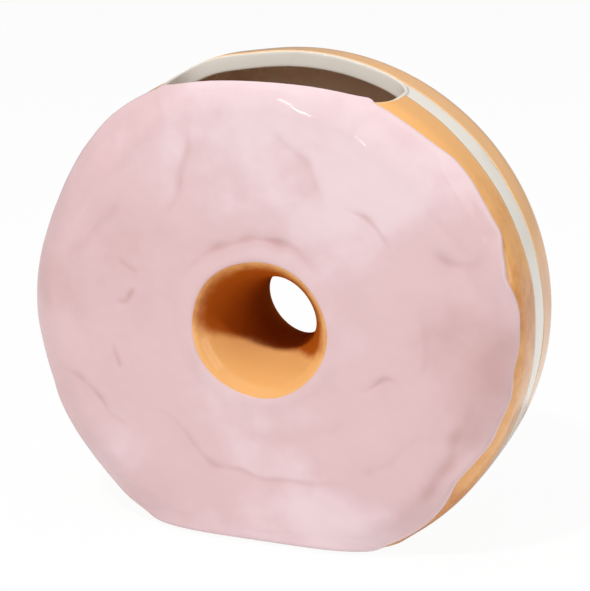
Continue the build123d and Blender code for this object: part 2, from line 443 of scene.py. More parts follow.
def skin(name, points, material, values=None, inner=None, ends=False):
    """A closed surface on a grid of points: its rows join up, and its columns do, or are capped
    at both ends.

    Faces join each point to its next row and next column. values are named numbers on the grid's
    first rows, and 0 on the others. inner is a second material and the row that it starts at."""
    rows, columns = points.shape[:2]
    index = np.arange(rows * columns).reshape(rows, columns)
    index = np.concatenate([index, index[:1]])
    if not ends:
        index = np.concatenate([index, index[:, :1]], axis=1)
    quads = np.stack([index[:-1, :-1], index[1:, :-1], index[1:, 1:], index[:-1, 1:]], axis=-1)
    faces = quads.reshape(-1, 4)
    flat = points.reshape(-1, 3)
    corners = flat[faces]
    volume = np.einsum("ij,ij->i", corners[:, 0], np.cross(corners[:, 1], corners[:, 2])
                       + np.cross(corners[:, 2], corners[:, 3])).sum()
    forwards = 1 if volume > 0 else -1
    polygons = faces[:, ::forwards].tolist()
    if ends:
        first, last = index[:-1, 0], index[:-1, -1]
        polygons += [first[::forwards].tolist(), last[::-forwards].tolist()]
    smooth = np.ones(len(polygons), bool)
    smooth[len(faces):] = False
    mesh = bpy.data.meshes.new(name)
    mesh.from_pydata(flat, [], polygons)
    mesh.polygons.foreach_set("use_smooth", smooth)
    mesh.materials.append(material)
    if inner is not None:
        mesh.materials.append(inner[0])
        chosen = np.zeros(len(polygons), np.int32)
        chosen[:len(faces)] = np.repeat(np.arange(rows) >= inner[1], quads.shape[1])
        mesh.polygons.foreach_set("material_index", chosen)
    for value_name, numbers in (values or {}).items():
        full = np.zeros((rows, columns), np.float32)
        full[:len(numbers)] = numbers
        layer = mesh.attributes.new(value_name, "FLOAT", "POINT")
        layer.data.foreach_set("value", full.ravel())
    mesh.validate()
    mesh.update()
    piece = bpy.data.objects.new(name, mesh)
    bpy.context.scene.collection.objects.link(piece)
    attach(piece, "root")
    return piece


def mouth_outline(size):
    """The mouth seen from above: four bowed sides with round corners, a closed line of (x, y)."""
    end_bow, front_bow, rear_bow = 1.2 * MM, 6.0 * MM, 0.8 * MM
    share = np.linspace(-1, 1, 80)
    swell = 1 - share**2
    square = size.mouth_half - end_bow
    low, high = size.mouth_front + front_bow, size.mouth_rear - rear_bow
    middle, reach = (low + high) / 2, (high - low) / 2
    front_side = np.stack([share * square, low - front_bow * swell], axis=1)
    right_end = np.stack([square + end_bow * swell, middle + share * reach], axis=1)
    rear_side = np.stack([-share * square, high + rear_bow * swell], axis=1)
    left_end = np.stack([-square - end_bow * swell, middle - share * reach], axis=1)
    sides = [front_side[:-1], right_end[:-1], rear_side[:-1], left_end]
    return softened(np.concatenate(sides), 17 * MM, closed=True)


def icing_edge(size, section, turn):
    """Run at which the pink coat ends at each turn, and the run of the mouth's front edge.

    On the rim the coat has a reach from the face, less a droop that grows downwards, with three
    waves and small drips. It is cut short by the mouth's front edge and by the floor."""
    wave = sum(share * np.sin(count * turn + FULL_TURN * phase)
               for count, share, phase in EDGE_WAVES)
    depth = -(size.half_depth - size.icing_reach) - size.icing_droop * (1 - np.sin(turn)) / 2
    edge = section.run_at_depth(depth + size.wave * wave + bumps_at(turn, DRIPS) * MM)
    outline = mouth_outline(size)
    front = outline[outline[:, 1] < -20 * MM]
    front = front[np.argsort(front[:, 0])]
    across = size.ring_radius * np.cos(turn)
    mouth_depth = np.interp(across, front[:, 0], front[:, 1], left=1.0, right=1.0)
    nowhere = section.run[-1]
    mouth_run = np.where(np.sin(turn) > 0, section.run_at_depth(mouth_depth), nowhere)
    floor_radius = (size.axis_height - COAT_FOOT) / np.maximum(-np.sin(turn), LEAST_SLOPE)
    at_floor = section.run_at_radius(np.minimum(floor_radius, size.ring_radius))
    floor_run = np.where(floor_radius < size.ring_radius - 1 * MM, at_floor, nowhere)
    return soft_least(np.minimum(edge, mouth_run), floor_run, 2 * MM), mouth_run


def bent_line(corners, count=48):
    """A smooth line through a fold's corners, as evenly set points in metres."""
    corners = np.array(corners) * MM
    share = np.linspace(0, 1, len(corners))
    fine = np.linspace(0, 1, count)
    line = np.stack([np.interp(fine, share, part) for part in corners.T], axis=1)
    return evenly(softened(line, run_along(line)[-1] / (2 * len(corners))), count)


def fold_relief(across, up):
    """Height of the pink coat's folds over its mean, and how much darker the pink is painted in
    them.

    Each fold is a crease along a bent line: a hollow, and across it a step from the higher side
    to the lower, which dies away over a distance on both sides and towards the line's two ends.
    The hollow is darkened, partly as glaze gathered there and partly as painted shade in the
    crease, and the lower side gets a little painted shade."""
    relief = np.zeros_like(across)
    pooled_and_shaded = np.zeros_like(across)
    spread = 12 * MM
    for corners, width, depth, step in FOLDS:
        line = bent_line(corners)
        run = run_along(line)
        way = np.gradient(line, run, axis=0)
        way /= np.linalg.norm(way, axis=1)[:, None]
        low, high = line.min(0) - 3 * spread, line.max(0) + 3 * spread
        near = (across > low[0]) & (across < high[0]) & (up > low[1]) & (up < high[1])
        away_x = across[near][:, None] - line[:, 0]
        away_z = up[near][:, None] - line[:, 1]
        closest = np.hypot(away_x, away_z).argmin(axis=1)
        pick = np.arange(len(closest))
        way_x, way_z = way[closest].T
        away_x, away_z = away_x[pick, closest], away_z[pick, closest]
        along = run[closest] + way_x * away_x + way_z * away_z
        end_reach = 0.4 * run[-1]
        fade = soft_step(along, 0, end_reach) * soft_step(run[-1] - along, 0, end_reach)
        fade = fade * (0.8 + 0.2 * np.sin(FULL_TURN * along / (13 * MM) + width))
        meander = 0.5 * MM * np.sin(FULL_TURN * along / (19 * MM) + 4 * width)
        gap = way_x * away_z - way_z * away_x + meander
        reach = width * MM * (0.5 + 0.5 * fade)
        hollow = np.exp(-(gap / reach)**2)
        rise = np.tanh(gap / (1.3 * reach)) * np.exp(-np.abs(gap) / spread)
        # Painted shade on the fold's lower side, fading away from the crease
        painted_low_side_shade = (soft_step(-gap * np.sign(step), -1 * MM, 2 * MM)
                    * np.exp(-np.abs(gap) / (6 * MM)))
        relief[near] += MM * fade * (0.5 * step * rise - depth * hollow)
        # Darkening in the hollow: partly gathered glaze, partly painted shade in the crease
        pooled_and_shaded[near] += fade * (0.75 * depth * hollow**2 + 0.22 * abs(step) * painted_low_side_shade)
    return relief, pooled_and_shaded


def patch_shade_and_tone(across, up):
    """How much darker or paler the pink is painted in its broad patches: round, and soft at their
    edges.
    """
    # Mostly painted shade on the sides and painted light at the top and low middle, partly uneven
    # glaze
    return sum(amount * np.exp(-((across - x * MM)**2 + (up - z * MM)**2) / (reach * MM)**2)
               for x, z, reach, amount in PINK_SHADE_AND_TONE_PATCHES)


def slow_waves(across, up):
    """Broad unevenness of a hand-laid coat: slow waves that cross at odd angles, -1 to 1."""
    return sum(np.sin(FULL_TURN * (across * math.cos(way) + up * math.sin(way)) / span + phase)
               for span, way, phase in SLOW_WAVES) / len(SLOW_WAVES)


def bed_depth(run, edge):
    """How far the casting is sunk under the pink coat: nothing at the edge, more on the face."""
    return BED * soft_step(edge - run, 1 * MM, 14 * MM) * soft_step(run, 12 * MM, 22 * MM)


def make_icing(size, section, material):
    """The pink coat: the section's front, from inside the hole to the wavy edge, over every turn.

    Its outer skin stands off the casting by its thickness, the slow waves and the folds, falls to
    the casting in a quarter round at both edges, and comes back underneath to close the skin. At
    the mouth the edge stands upright."""
    columns, over_rows, under_rows = 480, 188, 14
    turn = np.arange(columns) * FULL_TURN / columns
    edge, mouth_run = icing_edge(size, section, turn)
    waver = 0.35 * MM * np.sin(2 * turn + 1.0) + 0.2 * MM * np.sin(5 * turn + 2.0)
    start = section.seat_run - 0.6 * MM + waver
    share = np.linspace(0, 1, over_rows)[:, None]
    closer_at_edges = 0.045 * np.sin(FULL_TURN * share)
    run = start + (edge - start) * (share - closer_at_edges)
    from_hole = run - start
    from_rim = edge - run
    radius, _ = section.at(run)
    across, up = radius * np.cos(turn), radius * np.sin(turn)

    # The coat's height: full at its edges and lower on the face, with waves and folds there
    face = soft_step(from_hole, 0, 8 * MM)
    at_mouth = soft_step(mouth_run - edge, 3 * MM, 0.5 * MM)
    rim = soft_step(from_rim, 0, (9 + 15 * at_mouth) * MM)
    at_floor = soft_step(-np.sin(turn), 0.8, 0.88)
    mean = COAT_MEAN * face * np.maximum(rim, at_floor)
    relief, pooled_and_shaded = fold_relief(across, up)
    waves = (SLOW_HEIGHT * slow_waves(across, up)
             + FINE_HEIGHT * slow_waves(3.7 * up, 3.7 * across))
    hole_roll = 0.07 * MM * np.exp(-((from_hole - 3.5 * MM) / (3.0 * MM))**2)
    edge_roll = ((0.15 + bumps_at(turn, ROLLS)) * MM
                 * np.exp(-((from_rim - 2.8 * MM) / (2.2 * MM))**2))
    height = size.icing + mean + (waves + relief * size.folds) * face * rim + hole_roll
    height = soft_least(height, size.icing + 0.25 * MM * (1 - face), 0.3 * MM) + edge_roll

    # The quarter rounds, and the overhang that makes the edge upright at the mouth
    rim_reach = np.clip(from_rim / ((2.1 - 1.3 * at_mouth) * MM), 0, 1)
    hole_reach = np.clip(from_hole / (1.3 * MM), 0, 1)
    round_rim, round_hole = (np.sqrt(1 - (1 - reach)**2) for reach in (rim_reach, hole_reach))
    bed = bed_depth(run, edge)
    top = (height + bed) * round_rim * (0.35 + 0.65 * round_hole) - bed
    edge_radius, edge_depth = section.at(edge)
    lean_radius, lean_depth = section.at(edge, size.icing)
    overhang = (size.icing * (edge_depth - lean_depth)
                / np.maximum(lean_radius - edge_radius, 0.3 * size.icing))
    upright = run + overhang * at_mouth * (1 - soft_step(from_rim, 0, 14 * MM))
    outer = section.stood(turn, *section.at(upright, top), COAT_FOOT)

    under_run = start + (edge - start) * np.linspace(1, 0, under_rows)[:, None]
    overlap = 0.15 * MM
    under_top = -bed_depth(under_run, edge) - overlap
    under = section.stood(turn, *section.at(under_run, under_top), COAT_UNDER_FOOT)
    # Paler pink along the coat's edge: thinner glaze there and a painted highlight on the rounded
    # edge
    thin_edge_and_highlight = np.concatenate([np.exp(-from_rim / (3.0 * MM)), np.ones_like(under_run)])
    # The pink's 'thick' value paints it darker or paler: gathered glaze and painted shade in the
    # folds, and the broad patches of painted shade, painted light and uneven glaze
    thick = pooled_and_shaded * face * rim + patch_shade_and_tone(across, up)
    piece = skin("icing_coat", np.concatenate([outer, under]), material,
                 values={"edge": thin_edge_and_highlight, "thick": thick})
    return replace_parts(piece, "icing")


def upright_turn(turn, outer, inner):
    """Turn at which the inner wall lies straight under the outer one, near the top of the ring.

    There its sine is the outer one's by the share of the radii; down the sides it is the same
    turn, with a soft change between them."""
    from_top = (turn - math.pi / 2 + math.pi) % FULL_TURN - math.pi
    near_top = 1 - soft_step(np.abs(from_top), 0.6, 1.2)
    leaned = np.clip(np.sin(from_top) * (1 + near_top * (outer / inner - 1)), -1, 1)
    return np.where(np.abs(from_top) < 1.3, np.arcsin(leaned), from_top) + math.pi / 2


def casting_turns(size, section, depth, side):
    """Turns round the ring for a casting's edge, and that edge's depth.

    side is -1 for the front casting and 1 for the rear. Over the mouth the edge follows the
    mouth's outline; elsewhere it is the band's edge with a slow hand-painted wobble. A least step
    keeps the turns in order at the mouth's corners."""
    outline = mouth_outline(size)
    kept = outline[(outline[:, 1] - depth) * side > 0]
    steps = np.linalg.norm(np.diff(kept, axis=0), axis=1)
    jump = int(np.argmax(steps))
    if steps[jump] > 2 * MM:
        kept = np.concatenate([kept[jump + 1:], kept[:jump + 1]])
    kept = evenly(kept, 150)
    if kept[0, 0] < kept[-1, 0]:
        kept = kept[::-1]
    kept[0, 1] = kept[-1, 1] = depth
    radius = section.radius_at_depth(kept[:, 1])
    least_turn = 5e-5 * np.arange(len(kept))
    over_mouth = np.arccos(np.clip(kept[:, 0] / radius, -1, 1))
    over_mouth = np.maximum.accumulate(over_mouth - least_turn) + least_turn
    rest = np.linspace(over_mouth[-1], FULL_TURN + over_mouth[0], 420)
    painted = depth + hand_wobble(rest, side)
    return (np.concatenate([over_mouth, rest[1:-1]]),
            np.concatenate([kept[:, 1], painted[1:-1]]))


def make_casting(size, section, side, node, material, inside):
    """One half of the casting, with side -1 for the front and 1 for the rear.

    The outer skin is the section between its end and the half's edge, carried round every turn.
    The inner skin is the same, inside it by the wall, and comes back from the edge."""
    band_edge = size.band_front if side < 0 else size.band_rear
    turn, edge_depth = casting_turns(size, section, band_edge, side)
    edge = section.run_at_depth(edge_depth)
    start = section.seat_run + 0.3 * MM if side < 0 else section.run[-1]
    rows = 80
    share = np.linspace(0, 1, rows)[:, None]
    run = start + (edge - start) * share
    bed = bed_depth(run, icing_edge(size, section, turn)[0]) if side < 0 else 0.0
    gap = np.abs(edge - run)
    eased = 0.04 * MM * (1 - soft_step(gap, 0, 0.6 * MM))
    outer = section.stood(turn, *section.at(run, -bed - eased), CASTING_FOOT)

    outer_radius = section.at(edge)[0]
    inner_turn = upright_turn(turn, outer_radius, outer_radius - size.wall)
    inner_radius, inner_depth = section.at(run[::-1], -size.wall)
    inner_depth[0] = edge_depth
    inner = section.stood(inner_turn, inner_radius, inner_depth, CASTING_FOOT + size.wall,
                          soft=8 * MM)
    # Darker or paler glaze by the band: runs of thick glaze, painted shade on the sides, painted
    # light at the top
    runs = bumps_at(turn, GLAZE_RUNS_AND_SHADE) * np.exp(-(gap / (24 * MM))**2)
    piece = skin(node + "_cast", np.concatenate([outer, inner]), material,
                 values={"edge": np.exp(-gap / (0.7 * MM)), "thick": runs}, inner=(inside, rows))
    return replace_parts(piece, node)


def make_band(size, section, material, inside):
    """The cream band: a strip of the section between the castings, open where the mouth is.

    Each row is a depth, carried round the axis at the rim's radius there for the outer skin and
    less the wall for the inner one. It starts and ends where the mouth's outline has that depth."""
    outline = mouth_outline(size)
    right = outline[outline[:, 0] > 0]
    right = right[np.argsort(right[:, 1])]
    columns, rows = 520, 22
    share = np.linspace(0, 1, columns)
    first = math.acos(size.mouth_half / size.ring_radius)
    about = first - share * (FULL_TURN - math.pi + 2 * first)
    # The band is tucked under both castings' edges, and sinks a little there
    tucked = 0.5 * MM
    front = size.band_front + hand_wobble(about, -1) - tucked
    rear = size.band_rear + hand_wobble(about, 1) + tucked
    depth = front + (rear - front) * np.linspace(0, 1, rows)[:, None]
    gap = np.minimum(depth - front, rear - depth)
    eased = 0.16 * MM * (1 - soft_step(gap, 0.8 * tucked, 2.2 * tucked))

    def strip(sunk, foot, soft):
        """The strip's points, sunk under the rim and pressed flat at the foot."""
        radius = section.radius_at_depth(depth) - sunk
        ends = np.interp(depth[:, :1], right[:, 1], right[:, 0])
        start = np.arccos(ends / radius[:, :1])
        turn = start - share * (FULL_TURN - math.pi + 2 * start)
        return section.stood(turn, radius, depth, foot, soft)

    outer = strip(eased, CASTING_FOOT, 4 * MM)
    inner = strip(size.wall, CASTING_FOOT + size.wall, 8 * MM)[::-1]
    piece = skin("cream_band_cast", np.concatenate([outer, inner]), material,
                 values={"edge": np.exp(-gap / (0.9 * MM))}, inner=(inside, rows), ends=True)
    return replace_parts(piece, "cream_band")


def make_tube(size, material, inside):
    """The tube through the hole: its waisted wall and its bowed outside, turned once round.

    A slow wave in its radius, of two and three to the turn, keeps the hand-made look."""
    rear = size.half_depth - size.face_crown
    visible = np.concatenate([hole_side(size, -1), hole_side(size, 1)[-2::-1]])
    visible = evenly(visible, 150)
    sunk = 0.5 * MM * soft_step(-visible[:, 1], rear - 5 * MM, rear - 1 * MM)
    visible += sunk[:, None] * [[0.5, 0.8]]
    seat, waist = size.seat_radius + 0.3 * MM, size.waist_radius + size.wall
    bowed = np.array([(seat, rear - size.wall), (waist, 10 * MM), (waist, -8 * MM),
                      (seat, -rear + size.wall + 1.4 * MM)])
    hidden = evenly(np.concatenate([[(seat, rear - 0.3 * MM)], softened(bowed, 22 * MM),
                                    [(seat, -rear + 1.6 * MM)]]), 60)
    line = np.concatenate([visible, hidden])
    radius, depth = line[:, :1], line[:, 1:]
    turn = np.arange(240) * FULL_TURN / 240
    wave = 0.2 * MM * (1 - soft_step(radius, size.waist_radius, size.seat_radius))
    radius = radius + wave * (np.sin(2 * turn + 0.6) + 0.5 * np.sin(3 * turn))
    points = np.stack([radius * np.cos(turn), depth + 0 * turn,
                       size.axis_height + radius * np.sin(turn)], axis=-1)

    # Deep in the hole the caramel is painted darker, as painted shade and partly as thicker glaze,
    # and its shine is taken off; both start further back on the low side, where the lit part
    # reaches deeper
    low = soft_step(-np.sin(turn + math.radians(8)), 0.05, 1.05)
    hole_shade_and_thick_glaze = soft_step(depth, (-41 + 25 * low) * MM, (-28 + 24 * low) * MM)
    dull = soft_step(depth, (-42 + 18 * low) * MM, (-30 + 22 * low) * MM)
    piece = skin("centre_tube_cast", points, material,
                 values={"edge": soft_step(depth, 31 * MM, 36 * MM),
                         "hole_shade_and_thick_glaze": hole_shade_and_thick_glaze * (1 - soft_step(depth, 31 * MM, 36 * MM)),
                         "dull": dull * (1 - soft_step(depth, 32 * MM, 36 * MM))},
                 inner=(inside, len(visible) - 1))
    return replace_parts(piece, "centre_tube")


def make_lip(size, section, material):
    """The lip in the mouth: a rounded upright profile carried round the mouth's outline.

    Its top follows the ring's outer surface, and its bottom the inner side of the wall."""
    outline = evenly(mouth_outline(size), 421)[:-1]
    lean, rise = round_bar(40, 0.5, 0.35)
    overlap = 0.25 * MM
    inset = (size.lip - overlap) / 2 + (size.lip + overlap) / 2 * lean
    place = outline + inset[:, None, None] * inward_from(outline)
    across, depth = place[..., 0], place[..., 1]
    radius = section.radius_at_depth(depth)
    # The lip lies lower behind the pink coat, and at the rear where the rim stands higher
    lowered = 0.05 * MM + 0.4 * MM * (soft_step(depth, 5.5 * MM, 8 * MM)
                                      * soft_step(-across, -12 * MM, 18 * MM))
    lowered += 0.85 * MM * (1 - soft_step(depth, -26 * MM, -8 * MM))
    top = np.sqrt(np.maximum((radius - lowered)**2 - across**2, 0))
    bottom = np.sqrt(np.maximum((radius - size.wall - 0.5 * MM)**2 - across**2, 0))
    share = (rise[:, None] + 1) / 2
    level = size.axis_height + bottom + (top - bottom) * share
    points = section.hand_set(np.stack([across, depth, level], axis=-1))
    piece = skin("mouth_lip_cast", points, material,
                 values={"edge": np.exp(-11 * (1 - share))})
    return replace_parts(piece, "mouth_lip")


def make_foot(size, section, material):
    """The bare foot: a low rounded profile carried round the body's outline, inside it."""
    half = section.level_outline(size.foot_height)
    half = section.flared(np.column_stack([half, np.full(len(half), size.foot_height)]))[:, :2]
    outline = np.concatenate([half, half[::-1] * [[-1, 1]], half[:1]])
    outline = evenly(softened(outline, 4 * MM, closed=True), 361)[:-1]
    lean, rise = round_bar(24, 0.6, 0.6)
    set_in, tall = 3.0 * MM, 2.2 * MM
    inset = set_in + size.foot_width * (1 + lean) / 2
    place = outline + inset[:, None, None] * inward_from(outline)
    level = np.broadcast_to((tall * (1 + rise) / 2)[:, None, None], (*place.shape[:2], 1))
    piece = skin("foot_ring_cast", np.concatenate([place, level], axis=-1), material)
    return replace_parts(piece, "foot_ring")


class Nodes:
    """Short ways to add and join nodes in one tree."""

    def __init__(self, tree):
        self.tree = tree
        tree.nodes.clear()

    def add(self, kind, sockets=None, **settings):
        """A node with its settings, and each named input joined to a socket or set to a value."""
        node = self.tree.nodes.new(kind)
        for name, value in settings.items():
            setattr(node, name, value)
        for name, value in (sockets or {}).items():
            if isinstance(value, bpy.types.NodeSocket):
                self.tree.links.new(value, node.inputs[name])
            else:
                node.inputs[name].default_value = value
        return node

    def maths(self, operation, first, second=0.0, clamp=False):
        """A sum, difference or product of two numbers."""
        return self.add("ShaderNodeMath", {0: first, 1: second}, operation=operation,
                        use_clamp=clamp).outputs[0]

    def span(self, value, low, high, to_low=0.0, to_high=1.0, kind="SMOOTHSTEP"):
        """A value's place between two numbers, as a place between two others."""
        return self.add("ShaderNodeMapRange", {"Value": value, "From Min": low, "From Max": high,
                                               "To Min": to_low, "To Max": to_high},
                        interpolation_type=kind).outputs["Result"]

    def mix(self, share, first, second):
        """A colour between two others."""
        return self.add("ShaderNodeMix", {0: share, 6: first, 7: second},
                        data_type="RGBA").outputs[2]

    def noise(self, vector, scale, detail=2.0, roughness=0.5, distortion=0.0):
        """Soft noise, 0 to 1."""
        return self.add("ShaderNodeTexNoise", {"Vector": vector, "Scale": scale, "Detail": detail,
                                               "Roughness": roughness, "Distortion": distortion}
                        ).outputs["Fac"]

    def place(self):
        """Place on the object."""
        return self.add("ShaderNodeTexCoord").outputs["Object"]

    def value(self, name):
        """A number that a piece carries on its points."""
        return self.add("ShaderNodeAttribute", attribute_name=name).outputs["Fac"]


def effect(name, inputs, outputs):
    """An empty node group, its node helper and its inputs.

    Each input and output is a number with a default, or a colour where the default is None."""
    tree = bpy.data.node_groups.new(name, "ShaderNodeTree")
    for in_out, sockets in (("INPUT", inputs), ("OUTPUT", outputs)):
        for socket_name, default in sockets.items():
            kind = "NodeSocketColor" if default is None else "NodeSocketFloat"
            socket = tree.interface.new_socket(socket_name, in_out=in_out, socket_type=kind)
            if default is not None:
                socket.default_value = default
    nodes = Nodes(tree)
    return tree, nodes, nodes.add("NodeGroupInput").outputs


def glaze_clouds(name):
    """Where a poured glaze lies thick and thin: soft clouds, drawn out downwards, and mottle."""
    tree, nodes, given = effect(name, {"Thin": None, "Plain": None, "Thick": None, "Scale": 30.0,
                                       "Pooling": 0.0, "Contrast": 1.0}, {"Color": None})
    place = nodes.place()
    drawn = nodes.add("ShaderNodeMapping", {"Vector": place, "Scale": (1.0, 1.0, 0.7)}).outputs[0]
    broad = nodes.noise(drawn, given["Scale"], 3.0, 0.55, 0.6)
    fine = nodes.noise(place, nodes.maths("MULTIPLY", given["Scale"], 7.0), 2.0, 0.6)
    both = nodes.maths("ADD", nodes.maths("MULTIPLY", broad, 0.7),
                       nodes.maths("MULTIPLY", fine, 0.3))
    swing = nodes.maths("MULTIPLY", nodes.maths("SUBTRACT", both, 0.5), given["Contrast"])
    # The piece's pooling value adds glaze thickness and also painted shade and light
    thick = nodes.maths("ADD", nodes.maths("ADD", swing, 0.5), given["Pooling"], clamp=True)
    low = nodes.mix(nodes.span(thick, 0.2, 0.5), given["Thin"], given["Plain"])
    full = nodes.mix(nodes.span(thick, 0.52, 1.0), low, given["Thick"])
    nodes.add("NodeGroupOutput", {"Color": full})
    return tree


def glaze_skin(name):
    """Surface of a fired glaze: slow ripples, a fine orange skin, and rare pinholes."""
    tree, nodes, given = effect(name, {"Ripple": 1.0, "Pinholes": 1.0},
                                {"Height": 0.0, "Pinhole": 0.0, "Roughness": 0.0})
    place = nodes.place()
    slow = nodes.noise(place, 55.0, 1.0, 0.4)
    fine = nodes.noise(place, 420.0, 2.0, 0.5)
    cell = nodes.add("ShaderNodeTexVoronoi", {"Vector": place, "Scale": 95.0, "Randomness": 1.0},
                     feature="F1")
    chosen = nodes.span(cell.outputs["Color"], 0.80, 0.82, kind="LINEAR")
    dot = nodes.maths("MULTIPLY", nodes.span(cell.outputs["Distance"], 0.055, 0.02), chosen)
    hole = nodes.maths("MULTIPLY", dot, given["Pinholes"])
    swell = nodes.maths("MULTIPLY", slow, given["Ripple"])
    height = nodes.maths("ADD", swell, nodes.maths("MULTIPLY", fine, 0.035))
    height = nodes.maths("SUBTRACT", height, nodes.maths("MULTIPLY", hole, 0.12))
    rough = nodes.span(nodes.noise(place, 140.0, 2.0), 0.3, 0.7)
    nodes.add("NodeGroupOutput", {"Height": height, "Pinhole": hole, "Roughness": rough})
    return tree


def shared(build):
    """A shared effect's node group, built once."""
    return bpy.data.node_groups.get(build.__name__) or build(build.__name__)


def rgba(value):
    """A colour with full cover."""
    return (*value, 1.0)


def new_material(name):
    """A new material with an empty tree, and its node helper."""
    material = bpy.data.materials.new(name)
    material.use_nodes = True
    return material, Nodes(material.node_tree)


def glaze(name, thin, plain, thick, scale, contrast=1.0, ripple=1.0, pinholes=1.0,
          roughness=(0.04, 0.09), pooling_and_shade=None, border=None, pale_edge=0.0, dull=None):
    """A glossy fired glaze: clouded colour, darker or paler where pooling_and_shade names a value
    on the piece, whose value holds pooled glaze and also painted shade and light, and another
    colour along the border where border gives one.

    dull names a value on the piece where it has no shine. There the shine is a coat whose weight
    is what the value leaves."""
    material, nodes = new_material(name)
    pooled = nodes.maths("MULTIPLY", nodes.value(pooling_and_shade[0]), pooling_and_shade[1]) if pooling_and_shade else 0.0
    full = nodes.add("ShaderNodeGroup", {
        "Thin": rgba(thin), "Plain": rgba(plain), "Thick": rgba(thick), "Scale": scale,
        "Contrast": contrast, "Pooling": pooled}, node_tree=shared(glaze_clouds)).outputs["Color"]
    surface = nodes.add("ShaderNodeGroup", {"Ripple": ripple, "Pinholes": pinholes},
                        node_tree=shared(glaze_skin)).outputs
    if border:
        near = nodes.maths("MULTIPLY", nodes.value("edge"), pale_edge)
        full = nodes.mix(near, full, rgba(border))
    pricked = nodes.mix(nodes.maths("MULTIPLY", surface["Pinhole"], 0.5), full,
                        (0.95, 0.9, 0.85, 1))
    bump = nodes.add("ShaderNodeBump", {"Height": surface["Height"], "Strength": 0.35,
                                        "Distance": 0.0011}).outputs["Normal"]
    look = {"Base Color": pricked, "IOR": 1.52, "Normal": bump,
            "Roughness": nodes.span(surface["Roughness"], 0.0, 1.0, *roughness)}
    if dull:
        look.update({"Coat Weight": nodes.maths("SUBTRACT", 1.0, nodes.value(dull)),
                     "Coat Normal": bump, "Coat Roughness": roughness[0],
                     "Specular IOR Level": 0.0})
    shader = nodes.add("ShaderNodeBsdfPrincipled", look)
    nodes.add("ShaderNodeOutputMaterial", {"Surface": shader.outputs[0]})
    return material


def bare_clay(name, plain):
    """Unglazed fired clay: matt, with a fine grain and darker rubbed patches."""
    material, nodes = new_material(name)
    place = nodes.place()
    grain = nodes.noise(place, 1400.0, 3.0, 0.7)
    patch = nodes.noise(place, 60.0, 3.0, 0.6)
    rubbed = rgba(0.6 * part for part in plain)
    full = nodes.mix(nodes.span(patch, 0.45, 0.75), rgba(plain), rubbed)
    full = nodes.mix(nodes.span(grain, 0.55, 0.75, 0.0, 0.35), full, rubbed)
    bump = nodes.add("ShaderNodeBump", {"Height": grain, "Strength": 0.5, "Distance": 0.0002})
    shader = nodes.add("ShaderNodeBsdfPrincipled", {"Base Color": full, "Roughness": 0.85,
                                                    "Normal": bump.outputs["Normal"]})
    nodes.add("ShaderNodeOutputMaterial", {"Surface": shader.outputs[0]})
    return material


def finish(name):
    """The named finish of the vase, made once."""
    if name in bpy.data.materials:
        return bpy.data.materials[name]
    tone = bpy.context.scene.donut_vase_colours
    if name == "clay_finish":
        return bare_clay(name, tone.clay)
    glazes = {
        # The pink's pale border is thinner glaze and a painted highlight along its edge; its
        # 'thick' value carries painted shade and light
        "pink_finish": dict(
            thin=tone.pink_thin_and_lit, plain=tone.pink, thick=tone.pink_pooled_and_shaded, scale=11.0,
            contrast=0.95, ripple=0.8, pinholes=0.7, pooling_and_shade=("thick", 1.0),
            border=tone.pink_thin_and_lit, pale_edge=0.6),
        "caramel_finish": dict(
            thin=tone.caramel, plain=tone.caramel, thick=tone.caramel_deep_and_shaded, scale=22.0,
            contrast=1.1, pooling_and_shade=("thick", 1.0), border=(0.95, 0.72, 0.40), pale_edge=0.6),
        # Deep in the hole the caramel turns towards its darkest colour as painted shade, partly
        # thicker glaze
        "hole_finish": dict(
            thin=tone.caramel, plain=tone.caramel, thick=tone.caramel_hole_shade, scale=30.0,
            contrast=0.7, ripple=0.6, pooling_and_shade=("hole_shade_and_thick_glaze", 0.55), border=tone.peach, pale_edge=1.0,
            roughness=(0.05, 0.1), dull="dull"),
        "peach_finish": dict(
            thin=tone.peach, plain=tone.peach, thick=tone.peach_deep_and_shaded, scale=20.0,
            pooling_and_shade=("thick", 0.7), border=(0.93, 0.72, 0.45), pale_edge=0.5),
        "cream_finish": dict(
            thin=tone.cream, plain=tone.cream, thick=tone.cream_worn, scale=26.0, contrast=0.8,
            ripple=0.8, border=tone.cream_worn, pale_edge=0.25),
        "inside_finish": dict(
            thin=tone.inside_pale, plain=tone.inside, thick=tone.inside, scale=30.0,
            contrast=1.2, ripple=1.4, pinholes=0.0, roughness=(0.16, 0.3)),
    }
    return glaze(name, **glazes[name])


class DONUTVASE_OT_castings(bpy.types.Operator):
    """Make the front and rear castings and the tube in the hole"""
    bl_idname = "donut_vase.castings"
    bl_label = "Castings"
    bl_options = {"REGISTER", "UNDO"}

    def execute(self, context):
        size = context.scene.donut_vase_sizes
        section = Section(size)
        inside = finish("inside_finish")
        make_casting(size, section, -1, "front_shell", finish("caramel_finish"),
                     inside)
        make_casting(size, section, 1, "rear_shell", finish("peach_finish"), inside)
        make_tube(size, finish("hole_finish"), inside)
        return {"FINISHED"}


class DONUTVASE_OT_cream(bpy.types.Operator):
    """Make the cream band round the rim and the cream lip in the mouth"""
    bl_idname = "donut_vase.cream"
    bl_label = "Cream band and lip"
    bl_options = {"REGISTER", "UNDO"}

    def execute(self, context):
        size = context.scene.donut_vase_sizes
        section = Section(size)
        make_band(size, section, finish("cream_finish"), finish("inside_finish"))
        make_lip(size, section, finish("cream_finish"))
        return {"FINISHED"}


class DONUTVASE_OT_icing(bpy.types.Operator):
    """Lay the pink coat on the front, with its folds and wavy edge"""
    bl_idname = "donut_vase.icing"
    bl_label = "Pink icing"
    bl_options = {"REGISTER", "UNDO"}

    def execute(self, context):
        size = context.scene.donut_vase_sizes
        make_icing(size, Section(size), finish("pink_finish"))
        return {"FINISHED"}


